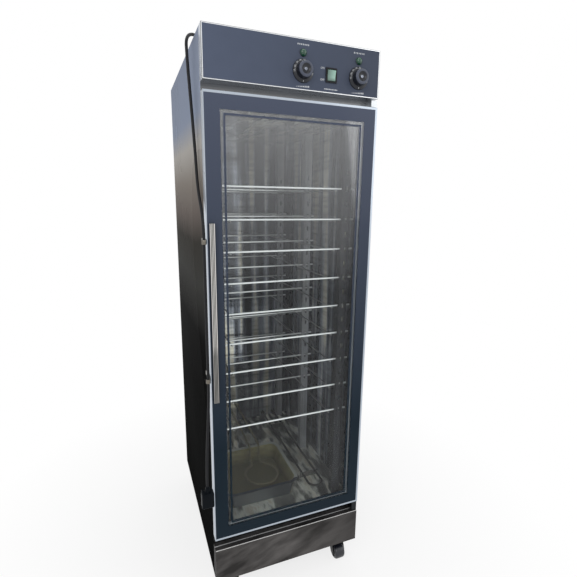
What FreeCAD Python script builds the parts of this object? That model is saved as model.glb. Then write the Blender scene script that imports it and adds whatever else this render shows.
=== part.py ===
import FreeCAD
import Part

import math
import os

# A tall single-door proofing box on casters, in millimetres.
# X runs to the right, Y to the back and Z up. Z = 0 is the floor.
# Depth is measured backwards from the front plane of the door.

# Cabinet
cabinet_width = 500.0
body_depth = 640.0
cabinet_height = 1676.0
front_zone = 34.0
outer_sheet = 1.0
base_sheet = 2.0
frame_sheet = 1.5
liner_sheet = 1.0
wall_thickness = 25.0

# Heights of the front
caster_height = 79.0
skirt_height = 117.0
door_foot_gap = 37.0
door_head_gap = 23.0
hood_height = 126.0
floor_rise = 19.0
sill_rise = 6.0
ceiling_drop = 27.0
rail_overlap = 20.0

# Control panel
hood_sheet = 1.2
fascia_inset = 3.0
fascia_sheet = 1.0
control_rise = 47.0
temperature_inset = 68.0
switch_spacing = 84.0
humidity_spacing = 167.0
knob_reach = 27.0
knob_skirt_radius = 29.5
knob_skirt_thickness = 3.5
knob_grip_radius = 21.0
knob_gap = 0.5
knob_cap_radius = 5.0
spindle_radius = 3.0
spindle_clearance = 0.05
bushing_radius = 5.0
bushing_nut_radius = 8.0
thermostat_width = 42.0
thermostat_depth = 28.0
lamp_rise = 91.0
lamp_radius = 10.0
lamp_neck_radius = 6.0
lamp_reach = 9.0
panel_hole_clearance = 0.1
switch_rise = 45.0
bezel_width = 33.0
bezel_height = 37.0
bezel_thickness = 3.0
rocker_width = 23.0
rocker_radius = 14.6
rocker_tilt = 8.0
rocker_clearance = 0.4
switch_wall = 2.0
switch_depth = 20.0
rocker_pin_radius = 1.5

# Door
door_thickness = 30.0
door_edge = 6.0
handle_stile_edge = 2.0
door_flange = 32.0
door_flange_thickness = 8.0
front_pane = 5.0
inner_pane = 4.0
pane_clearance = 0.2
spacer_outset = 30.0
spacer_width = 10.0
gasket_outset = 14.0
gasket_width = 10.0
seal_gap = 0.2
hinge_inset = 8.0
hinge_depth = 12.0
hinge_pin_radius = 5.0
hinge_clearance = 0.05
hinge_gap = 2.0
hinge_rest_gap = 0.2
hinge_width = 18.0
hinge_height = 17.0
handle_inset = 6.0
handle_width = 14.0
handle_reach = 14.0
handle_rise = 466.0
handle_length = 503.0
handle_ridges = 4
handle_groove = 1.6

# Rack and shelves
left_post_gap = 1.0
right_post_gap = 25.0
post_face = 28.0
post_side = 26.0
post_sheet = 2.0
post_setback = 11.0
post_rear_gap = 2.0
post_slot_width = 6.0
post_slot_height = 16.0
shelf_count = 9
shelf_lowest_rise = 320.0
top_tray_space = 200.0
rod_radius = 3.0
rod_end_gap = 10.0
rod_setback = 9.0
rod_clearance = 0.1
wire_radius = 2.0
wire_inset = 21.0
wire_overhang = 6.0
weld_gap = 0.05

# Water pan and heaters
pan_wall_gap = 25.0
pan_heater_gap = 44.0
pan_front = 75.0
pan_depth = 260.0
pan_height = 60.0
pan_rim = 10.0
pan_draft = 10.0
pan_sheet = 1.2
pan_corner = 28.0
heater_radius = 4.0
ring_radius_share = 0.2256
ring_shift_share = 0.12
ring_lift = 23.0
ring_leg_half = 18.0
ring_fillet = 20.0
ring_exit_lift = 18.0
ring_riser_gap = 35.0
ring_bend = 15.0
heater_boss_radius = 9.0
heater_boss = 4.0
floor_heater_wall_gap = 64.0
floor_heater_spacing = 51.0
floor_heater_lift = 15.0
floor_heater_front = 110.0
support_sheet = 2.0
support_margin = 6.0
support_depths = (160.0, 520.0)

# Power cord
cord_radius = 4.0
gland_inset = 100.0
gland_depth = 300.0
gland_thread_radius = 8.0
gland_nut_radius = 13.0
gland_nut = 6.0
gland_relief = 22.0
gland_tip_radius = 5.5
gland_tail = 12.0
hook_upper_inset = 48.0
hook_lower_inset = 67.0
hook_height = 12.0
hook_sheet = 1.5
hook_loop_radius = 5.0
hook_standoff = 1.5
hook_foot = 26.0
hook_loop_depth = -4.5
plug_standoff = 21.0
plug_depth = -8.0
plug_rise = 204.0
plug_width = 36.0
plug_thickness = 26.0
plug_body = 48.0
plug_neck = 18.0
plug_neck_radius = 9.0
plug_tip_radius = 5.5
pin_spacing = 22.2
pin_width = 6.3
pin_thickness = 4.0
pin_length = 18.0
earth_pin_width = 8.0
earth_pin_length = 22.0

# Casters
caster_inset_x = 55.0
caster_inset_depth = 46.0
caster_trail = 20.0
wheel_radius = 25.0
wheel_width = 38.0
wheel_round = 9.0
wheel_side_gap = 1.0
axle_radius = 4.0
axle_clearance = 0.08
fork_sheet = 2.5
crown_radius = 26.0
crown_bottom = 62.0
crown_gap = 0.3
kingpin_radius = 6.0
kingpin_clearance = 0.08
caster_plate_size = 60.0
caster_plate = 2.5

half_width = cabinet_width / 2
body_front = front_zone
body_back = front_zone + body_depth
front_y = -(body_back - knob_reach) / 2
inner_half = half_width - wall_thickness
inner_back = body_back - wall_thickness
frame_back = body_front + frame_sheet
skirt_top = caster_height + skirt_height
door_bottom = skirt_top + door_foot_gap
hood_bottom = cabinet_height - hood_height
door_top = hood_bottom - door_head_gap
floor_top = door_bottom + floor_rise
sill_top = floor_top + sill_rise
ceiling_bottom = door_top - ceiling_drop
control_height = hood_bottom + control_rise
lamp_height = hood_bottom + lamp_rise
switch_height = hood_bottom + switch_rise
temperature_x = half_width - temperature_inset
switch_x = temperature_x - switch_spacing
humidity_x = temperature_x - humidity_spacing
handle_left = handle_inset - half_width
handle_bottom = door_bottom + handle_rise
left_post_corner = left_post_gap + post_face - inner_half
right_post_corner = inner_half - right_post_gap - post_face
post_pitch = (inner_back - post_rear_gap - post_side - body_front - post_setback) / 2
shelf_lowest = floor_top + shelf_lowest_rise
shelf_pitch = (ceiling_bottom - top_tray_space - shelf_lowest) / (shelf_count - 1)
rod_reach = inner_half - rod_end_gap
floor_heater_right = inner_half - floor_heater_wall_gap
floor_heater_left = floor_heater_right - floor_heater_spacing
floor_heater_height = floor_top + floor_heater_lift
pan_left = pan_wall_gap - inner_half
pan_right = floor_heater_left - pan_heater_gap
pan_width = pan_right - pan_left
pan_back = pan_front + pan_depth
pan_top = floor_top + pan_height
ring_radius = pan_width * ring_radius_share
ring_x = (pan_left + pan_right) / 2 + pan_width * ring_shift_share
ring_depth = pan_front + pan_depth / 2
ring_height = floor_top + ring_lift
ring_exit_height = pan_top + ring_exit_lift
ring_riser_depth = pan_back - ring_riser_gap
gland_x = gland_inset - half_width
hook_upper = handle_bottom + handle_length - hook_upper_inset
hook_lower = handle_bottom + hook_lower_inset
plug_x = -half_width - plug_standoff
plug_top = door_bottom + plug_rise
X_AXIS = FreeCAD.Vector(1, 0, 0)
Y_AXIS = FreeCAD.Vector(0, 1, 0)
Z_AXIS = FreeCAD.Vector(0, 0, 1)
nodes = {}


def at(x, depth, z):
    return FreeCAD.Vector(x, front_y + depth, z)


def block(x0, x1, d0, d1, z0, z1):
    return Part.makeBox(x1 - x0, d1 - d0, z1 - z0, at(x0, d0, z0))


def rod(radius, length, x, depth, z, axis):
    return Part.makeCylinder(radius, length, at(x, depth, z), axis)


def prism_x(outline, x0, x1):
    # Outline points are (depth, z) and the solid runs along X.
    points = [at(x0, depth, z) for depth, z in outline]
    face = Part.Face(Part.makePolygon(points + points[:1]))
    return face.extrude(FreeCAD.Vector(x1 - x0, 0, 0))


def prism_z(outline, z0, z1):
    # Outline points are (x, depth) and the solid runs up Z.
    points = [at(x, depth, z0) for x, depth in outline]
    face = Part.Face(Part.makePolygon(points + points[:1]))
    return face.extrude(FreeCAD.Vector(0, 0, z1 - z0))


def turned_y(outline, x, z):
    # Outline points are (radius, depth) and the solid is turned about a line along Y.
    points = [at(x + radius, depth, z) for radius, depth in outline]
    face = Part.Face(Part.makePolygon(points + points[:1]))
    return face.revolve(at(x, 0, z), Y_AXIS, 360)


def mirrored(shape):
    return shape.mirror(FreeCAD.Vector(0, 0, 0), X_AXIS)


def rounded_path(points, radius=None):
    # Straight runs joined by tangent arcs. Without a radius each arc takes 0.45 of its shorter run.
    edges = []
    radii = []
    start = points[0]
    for before, corner, after in zip(points, points[1:], points[2:]):
        inward = before - corner
        outward = after - corner
        half_turn = (math.pi - inward.getAngle(outward)) / 2
        tangent = 0.45 * min(inward.Length, outward.Length)
        if radius is not None:
            tangent = radius * math.tan(half_turn)
        arc_radius = tangent / math.tan(half_turn)
        radii.append(arc_radius)
        inward.normalize()
        outward.normalize()
        first = corner + inward * tangent
        last = corner + outward * tangent
        bisector = inward + outward
        bisector.normalize()
        middle = corner + bisector * (arc_radius / math.cos(half_turn) - arc_radius)
        edges.append(Part.LineSegment(start, first).toShape())
        edges.append(Part.Arc(first, middle, last).toShape())
        start = last
    edges.append(Part.LineSegment(start, points[-1]).toShape())
    return Part.Wire(edges), radii


def tube(path, radius, start, direction):
    section = Part.Wire(Part.makeCircle(radius, start, direction))
    return path.makePipeShell([section], True, False)


def rounded_rectangle(x0, x1, d0, d1, z, corner):
    flat = block(x0, x1, d0, d1, z, z + 1)
    uprights = [edge for edge in flat.Edges if abs(edge.tangentAt(edge.FirstParameter).z) > 0.9]
    softened = flat.makeFillet(corner, uprights)
    lowest = min(softened.Faces, key=lambda face: face.CenterOfMass.z)
    return lowest.OuterWire


def make_casing():
    x = half_width - outer_sheet
    side = block(-half_width, -x, body_front, body_back, caster_height, cabinet_height)
    nodes["left_side_panel"] = side
    nodes["right_side_panel"] = mirrored(side)
    roof = block(-x, x, body_front, body_back, cabinet_height - outer_sheet, cabinet_height)
    hole = rod(gland_thread_radius + panel_hole_clearance, 10, gland_x, gland_depth, cabinet_height - 5, Z_AXIS)
    nodes["roof_panel"] = roof.cut(hole)
    base_top = caster_height + base_sheet
    nodes["base_plate"] = block(-x, x, body_front, body_back, caster_height, base_top)
    roof_under = cabinet_height - outer_sheet
    nodes["back_panel"] = block(-x, x, body_back - outer_sheet, body_back, base_top, roof_under)
    jamb = block(-x, -inner_half, body_front, frame_back, sill_top, ceiling_bottom)
    head = block(-x, x, body_front, frame_back, ceiling_bottom, hood_bottom + hood_sheet)
    sill = block(-x, x, body_front, frame_back, skirt_top - rail_overlap, sill_top)
    nodes["opening_frame"] = Part.makeCompound([jamb, mirrored(jamb), head, sill])


def make_liner():
    x = inner_half + liner_sheet
    back = inner_back + liner_sheet
    wall = block(-x, -inner_half, frame_back, back, floor_top, ceiling_bottom)
    nodes["inner_left_wall"] = wall
    nodes["inner_right_wall"] = mirrored(wall)
    nodes["inner_floor"] = block(-x, x, frame_back, back, floor_top - liner_sheet, floor_top)
    nodes["inner_ceiling"] = block(-x, x, frame_back, back, ceiling_bottom, ceiling_bottom + liner_sheet)
    nodes["inner_back_wall"] = block(-inner_half, inner_half, inner_back, back, floor_top, ceiling_bottom)
    low = floor_top - liner_sheet - wall_thickness
    high = ceiling_bottom + liner_sheet + wall_thickness
    shell_x = half_width - outer_sheet
    shell_back = body_back - outer_sheet
    side = block(-shell_x, -x, frame_back, shell_back, low, high)
    rear = block(-x, x, back, shell_back, low, high)
    upper = block(-x, x, frame_back, back, ceiling_bottom + liner_sheet, high)
    lower = block(-x, x, frame_back, back, low, floor_top - liner_sheet)
    nodes["wall_insulation"] = Part.makeCompound([side, mirrored(side), rear, upper, lower])


def make_control_panel():
    hood = block(-half_width, half_width, 0, body_front, hood_bottom, cabinet_height)
    x = half_width - hood_sheet
    hollow = block(-x, x, hood_sheet, body_front, hood_bottom + hood_sheet, cabinet_height - hood_sheet)
    hood = hood.cut(hollow)
    fascia_half = half_width - fascia_inset
    fascia_low = hood_bottom + fascia_inset
    fascia_high = cabinet_height - fascia_inset
    fascia = block(-fascia_half, fascia_half, -fascia_sheet, 0, fascia_low, fascia_high)
    bezel_cover = switch_wall + rocker_clearance
    body_half_x = rocker_width / 2 + rocker_clearance + switch_wall
    body_half_z = rocker_radius + bezel_cover
    holes = []
    for control_x in (humidity_x, temperature_x):
        bushing = bushing_radius + panel_hole_clearance
        neck = lamp_neck_radius + panel_hole_clearance
        holes.append(rod(bushing, 10, control_x, -5, control_height, Y_AXIS))
        holes.append(rod(neck, 10, control_x, -5, lamp_height, Y_AXIS))
    cut_x = body_half_x + panel_hole_clearance
    cut_z = body_half_z + panel_hole_clearance
    holes.append(block(switch_x - cut_x, switch_x + cut_x, -5, 5, switch_height - cut_z, switch_height + cut_z))
    nodes["control_hood"] = hood.cut(holes)
    nodes["control_fascia"] = fascia.cut(holes)
    make_thermostat("humidity", humidity_x)
    make_thermostat("temperature", temperature_x)
    make_switch(body_half_x, body_half_z)


def make_thermostat(name, x):
    half = thermostat_width / 2
    back = hood_sheet + thermostat_depth
    body = block(x - half, x + half, hood_sheet, back, control_height - half, control_height + half)
    nut_front = -fascia_sheet - 2
    bushing = rod(bushing_radius, hood_sheet - nut_front, x, nut_front, control_height, Y_AXIS)
    nut = rod(bushing_nut_radius, 2, x, nut_front, control_height, Y_AXIS)
    bore_end = back - 4
    bore = rod(spindle_radius + spindle_clearance, bore_end + 10, x, -10, control_height, Y_AXIS)
    nodes[name + "_thermostat"] = body.fuse([bushing, nut]).removeSplitter().cut(bore)
    rear = -fascia_sheet - knob_gap
    shoulder = rear - knob_skirt_thickness
    front = -knob_reach
    cap = front + 1
    cup = bushing_nut_radius + 2
    spindle_front = front + 6
    outline = [
        (cup, rear),
        (knob_skirt_radius, rear),
        (knob_skirt_radius - 2, shoulder),
        (knob_grip_radius + 1, shoulder),
        (knob_grip_radius, cap + 3),
        (knob_grip_radius - 3, cap),
        (knob_cap_radius, cap),
        (knob_cap_radius - 1, front),
        (0, front),
        (0, spindle_front),
        (spindle_radius, spindle_front),
        (spindle_radius, shoulder),
        (cup, shoulder),
    ]
    knob = turned_y(outline, x, control_height)
    spindle = rod(spindle_radius, bore_end - 1 - spindle_front, x, spindle_front, control_height, Y_AXIS)
    nodes[name + "_knob"] = Part.makeCompound([knob, spindle])
    face = -fascia_sheet
    lamp_outline = [(0, 14), (lamp_neck_radius, 14), (lamp_neck_radius, face), (lamp_radius, face)]
    lamp_outline.append((lamp_radius, face - 1.5))
    for step in range(1, 7):
        angle = math.radians(15 * step)
        swell = (lamp_reach - 1.5) * math.sin(angle)
        lamp_outline.append(((lamp_radius - 1) * math.cos(angle), face - 1.5 - swell))
    lamp_outline[-1] = (0, face - lamp_reach)
    nodes[name + "_lamp"] = turned_y(lamp_outline, x, lamp_height)


def make_switch(body_half_x, body_half_z):
    face = -fascia_sheet
    bezel_front = face - bezel_thickness
    z = switch_height
    half_x = bezel_width / 2
    half_z = bezel_height / 2
    bezel = block(switch_x - half_x, switch_x + half_x, bezel_front, face, z - half_z, z + half_z)
    body = block(switch_x - body_half_x, switch_x + body_half_x, face, switch_depth, z - body_half_z, z + body_half_z)
    hole_x = rocker_width / 2 + rocker_clearance
    hole_z = rocker_radius + rocker_clearance
    well_back = switch_depth - switch_wall
    well = block(switch_x - hole_x, switch_x + hole_x, bezel_front, well_back, z - hole_z, z + hole_z)
    pivot = 1.0
    pin_reach = hole_x + 1.4
    pin_bore = rod(rocker_pin_radius + spindle_clearance, 2 * pin_reach, switch_x - pin_reach, pivot, z, X_AXIS)
    nodes["switch_housing"] = bezel.fuse(body).removeSplitter().cut([well, pin_bore])
    crest = z + rocker_radius
    trough = z - rocker_radius
    outline = [(-6.5, crest), (-4.5, z), (-6.5, trough), (6, trough), (6, crest)]
    left = switch_x - rocker_width / 2
    right = switch_x + rocker_width / 2
    rocker = prism_x(outline, left, right)
    rocker = rocker.common(rod(rocker_radius, rocker_width, left, pivot, z, X_AXIS))
    pin_length = 2 * (pin_reach - 0.2)
    pins = rod(rocker_pin_radius, pin_length, switch_x - pin_length / 2, pivot, z, X_AXIS)
    rocker = rocker.fuse(pins).removeSplitter()
    rocker.rotate(at(switch_x, pivot, z), X_AXIS, rocker_tilt)
    nodes["switch_rocker"] = rocker


def make_skirt():
    skirt = block(-half_width, half_width, 0, body_front, caster_height, skirt_top)
    x = half_width - outer_sheet
    hollow = block(-x, x, outer_sheet, body_front, caster_height, skirt_top - outer_sheet)
    nodes["kick_plate"] = skirt.cut(hollow)


def make_door():
    low = door_bottom
    high = door_top
    x = half_width
    flange_front = door_thickness - door_flange_thickness
    edge_x = x - door_edge
    pin_x = x - hinge_inset
    bore_radius = hinge_pin_radius + hinge_clearance
    top_bar = block(-x, x, 0, door_thickness, high - door_edge, high)
    top_flange = block(-x, x, flange_front, door_thickness, high - door_flange, high - door_edge)
    top_bore = rod(bore_radius, 2 * door_edge, pin_x, hinge_depth, high - door_edge, Z_AXIS)
    top = top_bar.fuse(top_flange).removeSplitter().cut(top_bore)
    bottom_bar = block(-x, x, 0, door_thickness, low, low + door_edge)
    bottom_flange = block(-x, x, flange_front, door_thickness, low + door_edge, low + door_flange)
    bottom_bore = rod(bore_radius, 2 * door_edge, pin_x, hinge_depth, low - door_edge, Z_AXIS)
    bottom = bottom_bar.fuse(bottom_flange).removeSplitter().cut(bottom_bore)
    inner_edge = x - door_flange
    stiles = []
    for width in (handle_stile_edge, door_edge):
        bar = block(-x, width - x, 0, flange_front, low + door_edge, high - door_edge)
        flange = block(-x, -inner_edge, flange_front, door_thickness, low + door_flange, high - door_flange)
        stiles.append(bar.fuse(flange).removeSplitter())
    nodes["door_frame"] = Part.makeCompound([top, bottom, stiles[0], mirrored(stiles[1])])

    pane_x = edge_x - pane_clearance
    pane_left = handle_stile_edge + pane_clearance - x
    pane_low = low + door_edge + pane_clearance
    pane_high = high - door_edge - pane_clearance
    nodes["front_glass"] = block(pane_left, pane_x, 0, front_pane, pane_low, pane_high)
    inner_front = flange_front - inner_pane
    nodes["inner_glass"] = block(pane_left, pane_x, inner_front, flange_front, pane_low, pane_high)
    outer = x - spacer_outset
    inner = outer - spacer_width
    ring = block(-outer, outer, front_pane, inner_front, low + spacer_outset, high - spacer_outset)
    gap = spacer_outset + spacer_width
    ring = ring.cut(block(-inner, inner, front_pane, inner_front, low + gap, high - gap))
    nodes["glass_spacer"] = ring

    seal_back = front_zone - seal_gap
    outer = x - gasket_outset
    inner = outer - gasket_width
    low_edge = low + gasket_outset
    high_edge = high - gasket_outset
    lower = block(-outer, outer, door_thickness, seal_back, low_edge, low_edge + gasket_width)
    upper = block(-outer, outer, door_thickness, seal_back, high_edge - gasket_width, high_edge)
    side = block(-outer, -inner, door_thickness, seal_back, low_edge + gasket_width, high_edge - gasket_width)
    nodes["door_gasket"] = Part.makeCompound([lower, upper, side, mirrored(side)])

    right = handle_left + handle_width
    pitch = handle_width / handle_ridges
    outline = [(handle_left, 0), (handle_left, 1 - handle_reach)]
    for ridge in range(handle_ridges):
        start = handle_left + ridge * pitch
        outline.append((start + 0.8, -handle_reach))
        outline.append((start + pitch - 1.4, -handle_reach))
        if ridge < handle_ridges - 1:
            outline.append((start + pitch - 0.8, handle_groove - handle_reach))
            outline.append((start + pitch + 0.2, handle_groove - handle_reach))
    outline.append((right, 1 - handle_reach))
    outline.append((right, 0))
    nodes["door_handle"] = prism_z(outline, handle_bottom, handle_bottom + handle_length)

    # The pivot blocks close the right ends of the gaps over and under the door.
    left = x - hinge_width
    front = hinge_depth - hinge_inset
    block_low = high + hinge_gap
    block_high = low - hinge_gap
    upper = block(left, x, front, body_front, block_low, block_low + hinge_height)
    lower = block(left, x, front, body_front, skirt_top, block_high)
    pin_length = hinge_gap + door_edge - 1
    upper_pin = rod(hinge_pin_radius, pin_length, pin_x, hinge_depth, block_low - pin_length, Z_AXIS)
    lower_pin = rod(hinge_pin_radius, pin_length, pin_x, hinge_depth, block_high, Z_AXIS)
    washer = rod(hinge_inset - 1, hinge_gap - hinge_rest_gap, pin_x, hinge_depth, block_high, Z_AXIS)
    upper_hinge = upper.fuse(upper_pin).removeSplitter()
    lower_hinge = lower.fuse([lower_pin, washer]).removeSplitter()
    nodes["hinge_brackets"] = Part.makeCompound([upper_hinge, lower_hinge])


def make_rack():
    levels = [shelf_lowest + shelf_pitch * step for step in range(shelf_count)]
    fronts = [body_front + post_setback + post_pitch * step for step in range(3)]
    # Each side is an angle whose corner faces the trays: side is 1 where its face runs to the right.
    for name, corner, side in (("left_rack_posts", left_post_corner, -1), ("right_rack_posts", right_post_corner, 1)):
        posts = []
        face_end = corner + side * post_face
        leg_end = corner + side * post_sheet
        slot_x = corner + side * (post_face / 2 + 1)
        slot_left = slot_x - post_slot_width / 2
        slot_right = slot_x + post_slot_width / 2
        for front in fronts:
            face = block(min(corner, face_end), max(corner, face_end), front, front + post_sheet, floor_top, ceiling_bottom)
            leg = block(min(corner, leg_end), max(corner, leg_end), front, front + post_side, floor_top, ceiling_bottom)
            cuts = []
            for level in levels:
                cuts.append(rod(rod_radius + rod_clearance, 10, corner - 5, front + rod_setback, level, X_AXIS))
                for slot_low in (level - post_slot_height / 2, level + shelf_pitch / 2 - post_slot_height / 2):
                    slot_high = slot_low + post_slot_height
                    cuts.append(block(slot_left, slot_right, front - 1, front + 4, slot_low, slot_high))
            posts.append(face.fuse(leg).removeSplitter().cut(cuts))
        nodes[name] = Part.makeCompound(posts)
    wire_front = fronts[0] + rod_setback - wire_overhang
    wire_length = fronts[-1] - fronts[0] + 2 * wire_overhang
    for number, level in enumerate(levels, start=1):
        pieces = []
        for front in fronts:
            pieces.append(rod(rod_radius, 2 * rod_reach, -rod_reach, front + rod_setback, level, X_AXIS))
        wire_z = level - rod_radius - weld_gap - wire_radius
        for x in (left_post_corner + wire_inset, right_post_corner - wire_inset):
            pieces.append(rod(wire_radius, wire_length, x, wire_front, wire_z, Y_AXIS))
        nodes["shelf_%d" % number] = Part.makeCompound(pieces)


def make_pan():
    rim = pan_top

    def section(inset, z, corner):
        x0 = pan_left + inset
        x1 = pan_right - inset
        return rounded_rectangle(x0, x1, pan_front + inset, pan_back - inset, z, corner)

    foot = pan_rim + pan_draft
    outer = Part.makeLoft([section(foot, floor_top, pan_corner - 8), section(pan_rim, rim, pan_corner)], True)
    low = floor_top + pan_sheet
    inner_low = section(foot + pan_sheet, low, pan_corner - 8)
    inner_high = section(pan_rim + pan_sheet, rim, pan_corner)
    inner = Part.makeLoft([inner_low, inner_high], True)
    lip = Part.Face(section(0, rim - pan_sheet, pan_corner + pan_rim)).extrude(FreeCAD.Vector(0, 0, pan_sheet))
    nodes["water_pan"] = outer.fuse(lip).removeSplitter().cut(inner)


def make_heaters():
    near_x = ring_leg_half + ring_fillet
    fillet_depth = math.sqrt((ring_radius + ring_fillet) ** 2 - near_x ** 2)
    share = ring_radius / (ring_radius + ring_fillet)
    back = inner_back - heater_boss

    def spot(x, depth):
        return at(ring_x + x, ring_depth + depth, ring_height)

    def fillet_middle(side):
        to_leg = FreeCAD.Vector(-1, 0, 0)
        to_ring = FreeCAD.Vector(-near_x, -fillet_depth, 0)
        to_ring.normalize()
        between = to_leg + to_ring
        between.normalize()
        return spot(side * (near_x + ring_fillet * between.x), fillet_depth + ring_fillet * between.y)

    touch = (near_x * share, fillet_depth * share)
    left_leg = spot(-ring_leg_half, fillet_depth)
    right_leg = spot(ring_leg_half, fillet_depth)
    left_touch = spot(-touch[0], touch[1])
    right_touch = spot(touch[0], touch[1])
    corners_left = [
        at(ring_x - ring_leg_half, back, ring_exit_height),
        at(ring_x - ring_leg_half, ring_riser_depth, ring_exit_height),
        at(ring_x - ring_leg_half, ring_riser_depth, ring_height),
        left_leg,
    ]
    corners_right = [FreeCAD.Vector(2 * ring_x - p.x, p.y, p.z) for p in reversed(corners_left)]
    lead, radii = rounded_path(corners_left, ring_bend)
    trail, radii = rounded_path(corners_right, ring_bend)
    loop = [
        Part.Arc(left_leg, fillet_middle(-1), left_touch).toShape(),
        Part.Arc(left_touch, spot(0, -ring_radius), right_touch).toShape(),
        Part.Arc(right_touch, fillet_middle(1), right_leg).toShape(),
    ]
    path = Part.Wire(lead.Edges + loop + trail.Edges)
    element = tube(path, heater_radius, corners_left[0], Y_AXIS)
    bosses = []
    for x in (ring_x - ring_leg_half, ring_x + ring_leg_half):
        bosses.append(rod(heater_boss_radius, heater_boss, x, back, ring_exit_height, Y_AXIS))
    nodes["pan_heater"] = element.fuse(bosses)

    bend = (floor_heater_right - floor_heater_left) / 2
    middle_x = (floor_heater_left + floor_heater_right) / 2
    left_back = at(floor_heater_left, back, floor_heater_height)
    left_front = at(floor_heater_left, floor_heater_front, floor_heater_height)
    nose = at(middle_x, floor_heater_front - bend, floor_heater_height)
    right_front = at(floor_heater_right, floor_heater_front, floor_heater_height)
    right_back = at(floor_heater_right, back, floor_heater_height)
    hairpin = Part.Wire([
        Part.LineSegment(left_back, left_front).toShape(),
        Part.Arc(left_front, nose, right_front).toShape(),
        Part.LineSegment(right_front, right_back).toShape(),
    ])
    element = tube(hairpin, heater_radius, left_back, Y_AXIS)
    bosses = []
    supports = []
    for x in (floor_heater_left, floor_heater_right):
        bosses.append(rod(heater_boss_radius, heater_boss, x, back, floor_heater_height, Y_AXIS))
    nodes["floor_heater"] = element.fuse(bosses)
    low_x = floor_heater_left - heater_radius - support_margin
    high_x = floor_heater_right + heater_radius + support_margin
    top = floor_heater_height + heater_radius + 2
    for depth in support_depths:
        plate = block(low_x, high_x, depth, depth + support_sheet, floor_top, top)
        for x in (floor_heater_left, floor_heater_right):
            plate = plate.cut(rod(heater_radius + rod_clearance, 10, x, depth - 4, floor_heater_height, Y_AXIS))
        supports.append(plate)
    nodes["heater_supports"] = Part.makeCompound(supports)


def make_cord():
    roof = cabinet_height
    side = -half_width
    gland_tip = roof + gland_nut + gland_relief
    thread = rod(gland_thread_radius, gland_tail, gland_x, gland_depth, roof - gland_tail, Z_AXIS)
    nut = rod(gland_nut_radius, gland_nut, gland_x, gland_depth, roof, Z_AXIS)
    seat = at(gland_x, gland_depth, roof + gland_nut)
    relief = Part.makeCone(gland_thread_radius + 1, gland_tip_radius, gland_relief, seat, Z_AXIS)
    lock_z = roof - outer_sheet - 4
    lock_nut = rod(gland_nut_radius - 2, 4, gland_x, gland_depth, lock_z, Z_AXIS)
    nodes["cable_gland"] = thread.fuse([nut, relief, lock_nut]).removeSplitter()

    loop_outer = hook_loop_radius + hook_sheet
    arm_inner = side - hook_standoff
    loop_x = arm_inner - loop_outer
    hooks = []
    for height in (hook_upper, hook_lower):
        low = height - hook_height / 2
        high = height + hook_height / 2
        arm_outer = arm_inner - hook_sheet
        foot_front = body_front + 2
        foot_back = foot_front + hook_foot
        arm = block(arm_outer, arm_inner, hook_loop_depth, foot_back, low, high)
        foot = block(arm_outer, side, foot_front, foot_back, low, high)
        ring = rod(loop_outer, hook_height, loop_x, hook_loop_depth, low, Z_AXIS)
        ring = ring.cut(block(loop_x - 20, loop_x, hook_loop_depth, hook_loop_depth + 20, low, high))
        hook = arm.fuse([foot, ring])
        hook = hook.cut(rod(hook_loop_radius, hook_height, loop_x, hook_loop_depth, low, Z_AXIS))
        hooks.append(hook.removeSplitter())
    nodes["cord_hooks"] = Part.makeCompound(hooks)

    drop = roof - hook_upper
    points = [
        at(gland_x, gland_depth, gland_tip),
        at(gland_x, gland_depth, gland_tip + 40),
        at(gland_x - 26, gland_depth - 45, gland_tip + 66),
        at(gland_x - 55, gland_depth - 113, roof + 26),
        at(side - 20, 105, roof + 11),
        at(side - 19, 100, hook_upper + 0.885 * drop),
        at(side - 13, 92, hook_upper + 0.644 * drop),
        at(side - 9, 83, hook_upper + 0.443 * drop),
        at(loop_x, 68, hook_upper + 0.26 * drop),
        at(loop_x, hook_loop_depth + 0.5, hook_upper + 0.111 * drop),
        at(loop_x, hook_loop_depth - 0.5, hook_lower - 66),
        at(plug_x, plug_depth, plug_top + 83),
        at(plug_x, plug_depth, plug_top),
    ]
    path, radii = rounded_path(points)
    cord = tube(path, cord_radius, points[0], Z_AXIS)
    nodes["power_cord"] = cord
    print("cord bend radii", [round(radius, 1) for radius in radii])
    ratio = cord.Volume / (math.pi * cord_radius ** 2 * path.Length)
    print("cord length", round(path.Length, 1), "volume over section times length", round(ratio, 4))


def make_plug():
    neck_low = plug_top - plug_neck
    low = neck_low - plug_body
    half = plug_width / 2
    front = plug_depth - plug_thickness / 2
    back = plug_depth + plug_thickness / 2
    body = block(plug_x - half, plug_x + half, front, back, low, neck_low)
    body = body.makeFillet(4, body.Edges)
    neck = Part.makeCone(plug_neck_radius, plug_tip_radius, plug_neck + 4, at(plug_x, plug_depth, neck_low - 4), Z_AXIS)
    body = body.fuse(neck).removeSplitter()
    middle = (low + neck_low) / 2
    live_z = middle + pin_spacing / 2
    earth_z = middle - pin_spacing / 2
    pins = []
    for x in (plug_x - pin_spacing / 2, plug_x + pin_spacing / 2):
        half_pin = pin_width / 2
        half_flat = pin_thickness / 2
        pins.append(block(x - half_pin, x + half_pin, back, back + pin_length, live_z - half_flat, live_z + half_flat))
    half_flat = pin_thickness / 2
    half_earth = earth_pin_width / 2
    earth_back = back + earth_pin_length
    earth_x = plug_x
    pins.append(block(earth_x - half_flat, earth_x + half_flat, back, earth_back, earth_z - half_earth, earth_z + half_earth))
    nodes["power_plug"] = Part.makeCompound([body] + pins)


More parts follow.
